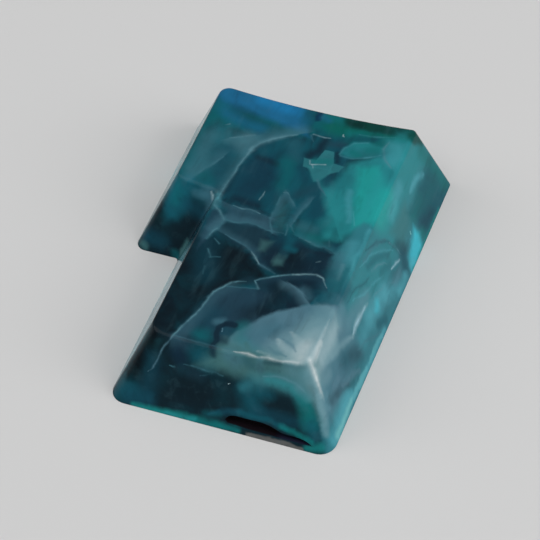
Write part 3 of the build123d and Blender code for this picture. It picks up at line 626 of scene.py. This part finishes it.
def patchShare(space, face, border, strength, corners):
    # a filled convex shape with a soft border; the corners run anticlockwise
    places = [onFace(face, *corner) for corner in corners]
    inside = None
    for i, start in enumerate(places):
        inward = outOf(face).cross(places[(i + 1) % len(places)] - start).normalized()
        depth = number("SUBTRACT", along(space, inward), start.dot(inward))
        inside = depth if inside is None else number("MINIMUM", inside, depth)
    if face != "top":
        depth = number("SUBTRACT", along(space, outOf(face)), places[0].dot(outOf(face)))
        depth = number("SUBTRACT", strokeLook["patchDepth"], number("ABSOLUTE", depth))
        inside = number("MINIMUM", inside, depth)
    return ramp(inside, -border / 2, border / 2, 0.0, strength)


def layer(name, face, rows):
    # one coat of strokes as a node group of its own
    global tree
    group = bpy.data.node_groups.new(name, "ShaderNodeTree")
    for socket, kind in (("Under", "Color"), ("Space", "Vector"), ("Breath", "Float")):
        group.interface.new_socket(socket, in_out="INPUT", socket_type="NodeSocket" + kind)
    group.interface.new_socket("Painted", in_out="OUTPUT", socket_type="NodeSocketColor")
    tree = group
    given = tree.nodes.new("NodeGroupInput").outputs
    colour = given["Under"]
    for kind, pigment, reach, strength, path in rows:
        if kind == "patch":
            share = patchShare(given["Space"], face, reach, strength, path)
        elif kind == "veil":
            share = veilShare(given["Space"], face, reach, strength, path)
        else:
            share = strokeShare(kind, given["Space"], face, reach, strength, path)
        share = number("MULTIPLY", share, given["Breath"])
        colour = blended(share, colour, screenColour(pigment, faceLight[face]))
    tree.links.new(colour, tree.nodes.new("NodeGroupOutput").inputs["Painted"])
    tree = resin.node_tree
    return group


def coat(under, space, breath, name):
    return addNode("ShaderNodeGroup", node_tree=layers[name],
                   inputs={"Under": under, "Space": space, "Breath": breath})


tree = resin.node_tree
layers = dict(
    fields=layer("topFields", "top", topFields),
    cloud=layer("milkyCloud", "top", cloud),
    sockets=layer("crossSockets", "top", sockets),
    veils=layer("veils", "top", veils),
    veins=layer("veins", "top", veins),
    front=layer("frontWall", "front", frontWall),
    right=layer("rightWall", "right", rightWall),
    step=layer("stepWall", "step", stepWall),
    ridge=layer("cornerRidge", "ridge", ridge),
)

# place in millimetres, and the smoke, streaks and marbling there
place = scaled(addNode("ShaderNodeTexCoord", "Object"), 1000.0)
marble = clouds(place, "marble")
smoke = ramp(clouds(place, "smoke"), *marbling["smoke"])
breath = ramp(clouds(place, "breath"), *marbling["breath"])
streak = clouds(vectorMath("MULTIPLY", place, marbling["streakStretch"]), "streak")

# the place gently stirred for the fields and a little for the veins
slowSwirl = swirl(place, "slowSwirl")
fineSwirl = swirl(place, "fineSwirl")
veinSpace = vectorMath("ADD", place, scaled(fineSwirl, marbling["veinStir"]))
fieldFine = scaled(fineSwirl, marbling["fieldFineStir"])
fieldSlow = scaled(slowSwirl, marbling["fieldSlowStir"])
fieldSpace = vectorMath("ADD", place, vectorMath("ADD", fieldFine, fieldSlow))

# the left walls take the right wall's strokes, whose pale colours there are partly the resin's own and partly a
# painted reflection of the floor seen at a grazing angle: left of the sockets the place is turned half round,
# onto it
sideTurn = dict(
    left=-6.0, wide=-12.0,  # mm where the left side begins, and the wall of the wide back row
    frontRow=(0, -18.55, 0), toBackRow=(-4.763, 37.6, 0),  # shift for the front row, and what the back row adds
    top=(7.1, 6.3),  # heights over which the strokes set in under the top
)
across = along(place, (1, 0, 0))
isLeft = number("LESS_THAN", across, sideTurn["left"])
rowShift = scaled(sideTurn["toBackRow"], number("LESS_THAN", across, sideTurn["wide"]))
rowShift = vectorMath("ADD", rowShift, sideTurn["frontRow"])
turned = vectorMath("ADD", vectorMath("MULTIPLY", fieldSpace, (-1, -1, 1)), rowShift)
sideSpace = vectorMath("ADD", fieldSpace, scaled(vectorMath("SUBTRACT", turned, fieldSpace), isLeft))
belowTop = ramp(along(place, (0, 0, 1)), *sideTurn["top"])
sideSmoke = number("MULTIPLY", smoke, number("MAXIMUM", belowTop, number("SUBTRACT", 1.0, isLeft)))

# dark teal marbled through the whole cap, then the fields and walls, the streaks, and what lies over them
colour = blended(ramp(marble, *marbling["ground"]), screenColour("night"), screenColour("petrol"))
colour = coat(colour, fieldSpace, smoke, "fields")
colour = coat(colour, fieldSpace, smoke, "cloud")
colour = coat(colour, sideSpace, sideSmoke, "right")
colour = coat(colour, fieldSpace, smoke, "front")
colour = coat(colour, fieldSpace, smoke, "step")
colour = blended(ramp(streak, *marbling["paleStreak"]), colour, screenColour("mist"))
colour = blended(ramp(streak, *marbling["darkStreak"]), colour, screenColour("ink"))
colour = coat(colour, veinSpace, smoke, "veils")
colour = coat(colour, veinSpace, smoke, "sockets")
colour = coat(colour, veinSpace, breath, "veins")
colour = coat(colour, veinSpace, breath, "ridge")

# painted shade inside the void in the front wall, black going blue to the right: its mouth, and how far under
# the wall it turns dark
voidShade = dict(
    corners=[(0, 0.35), (9.8, 0.3), (9.8, 1.0), (6, 1.75), (0, 1.75)], border=0.1, depth=(0.04, 0.2),
    left="shadowBlack", right="shadowPlum", turn=(5.4, 6.6),
)
wallLevel = onFace("front", *voidShade["corners"][0]).dot(outOf("front"))
under = number("SUBTRACT", wallLevel, along(place, outOf("front")))
mouth = patchShare(place, "front", voidShade["border"], 1.0, voidShade["corners"])
inVoid = number("MULTIPLY", mouth, ramp(under, *voidShade["depth"]))
voidRight = ramp(across, *voidShade["turn"])
voidDark = blended(voidRight, screenColour(voidShade["left"]), screenColour(voidShade["right"]))
colour = blended(inVoid, colour, voidDark)

polish = clouds(place, "polish")
roughness = ramp(polish, *resinFinish["polish"], resinFinish["smooth"], resinFinish["dull"])
bump = addNode("ShaderNodeBump", "Normal", inputs={
    "Strength": resinFinish["bumpStrength"], "Distance": resinFinish["bumpHeight"], "Height": polish})

shader = tree.nodes.new("ShaderNodeBsdfPrincipled")
shader.inputs["Specular IOR Level"].default_value = resinFinish["specular"]
shader.inputs["IOR"].default_value = resinFinish["ior"]
tree.links.new(colour, shader.inputs["Base Color"])
tree.links.new(roughness, shader.inputs["Roughness"])
tree.links.new(bump, shader.inputs["Normal"])
surface = tree.nodes.new("ShaderNodeOutputMaterial")
tree.links.new(shader.outputs[0], surface.inputs["Surface"])

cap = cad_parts["keycap"]
cap.data.materials.clear()
cap.data.materials.append(resin)
print("resin mixed:", len(tree.nodes), "nodes")

floorLook = dict(size=6.0, drop=0.00002, level=0.67, roughness=0.9, specular=0.0)  # a hair under the rim

bpy.ops.mesh.primitive_plane_add(size=floorLook["size"], location=(0, 0, -floorLook["drop"]))
floor = bpy.context.object
floor.name = "studioFloor"
paper = bpy.data.materials.new("paleFloor")
paper.use_nodes = True
paperShader = paper.node_tree.nodes["Principled BSDF"]
paperShader.inputs["Base Color"].default_value = (*[floorLook["level"]] * 3, 1.0)
paperShader.inputs["Roughness"].default_value = floorLook["roughness"]
paperShader.inputs["Specular IOR Level"].default_value = floorLook["specular"]
floor.data.materials.append(paper)

# soft light: a dim room, a large box above and one on each side
lightSetup = dict(
    room=0.18,
    boxes=[
        dict(name="topBox", place=(0.03, -0.05, 0.7), size=1.0, power=3.6),
        dict(name="rightBox", place=(0.55, 0.0, 0.38), size=0.45, power=1.65),
        dict(name="leftBox", place=(-0.55, -0.1, 0.4), size=0.45, power=1.0),
    ],
)

world = bpy.data.worlds.new("studioRoom")
world.use_nodes = True
room = world.node_tree.nodes["Background"]
room.inputs["Color"].default_value = (1, 1, 1, 1)
room.inputs["Strength"].default_value = lightSetup["room"]
scene.world = world
for box in lightSetup["boxes"]:
    lamp = bpy.data.lights.new(box["name"], "AREA")
    lamp.energy = box["power"]
    lamp.size = box["size"]
    lampObject = bpy.data.objects.new(box["name"], lamp)
    lampObject.location = box["place"]
    lampObject.rotation_euler = (-Vector(box["place"])).to_track_quat("-Z", "Y").to_euler()
    lampObject.visible_camera = False
    scene.collection.objects.link(lampObject)
print("floor and lights set")

# camera where the photograph was taken from: degrees, metres, and the lens in mm
photoView = dict(
    azimuth=22.224, elevation=48.464, roll=-3.045, distance=0.292263,
    lookAt=(-0.00217, 0.001699, 0.0), lens=195.01, sensor=36.0, clipStart=0.01,
)

azimuth, elevation, roll = (math.radians(photoView[key]) for key in ("azimuth", "elevation", "roll"))
back = Vector((math.sin(azimuth) * math.cos(elevation), -math.cos(azimuth) * math.cos(elevation),
               math.sin(elevation)))
level = Vector((0, 0, 1)).cross(back).normalized()
rise = back.cross(level)
rightward = level * math.cos(roll) + rise * math.sin(roll)
upward = rise * math.cos(roll) - level * math.sin(roll)
lens = bpy.data.cameras.new("photoCamera")
lens.lens = photoView["lens"]
lens.sensor_width = photoView["sensor"]
lens.clip_start = photoView["clipStart"]
camera = bpy.data.objects.new("photoCamera", lens)
camera.matrix_world = Matrix((rightward, upward, back)).transposed().to_4x4()
camera.location = Vector(photoView["lookAt"]) + back * photoView["distance"]
scene.collection.objects.link(camera)
scene.camera = camera
print("camera placed")
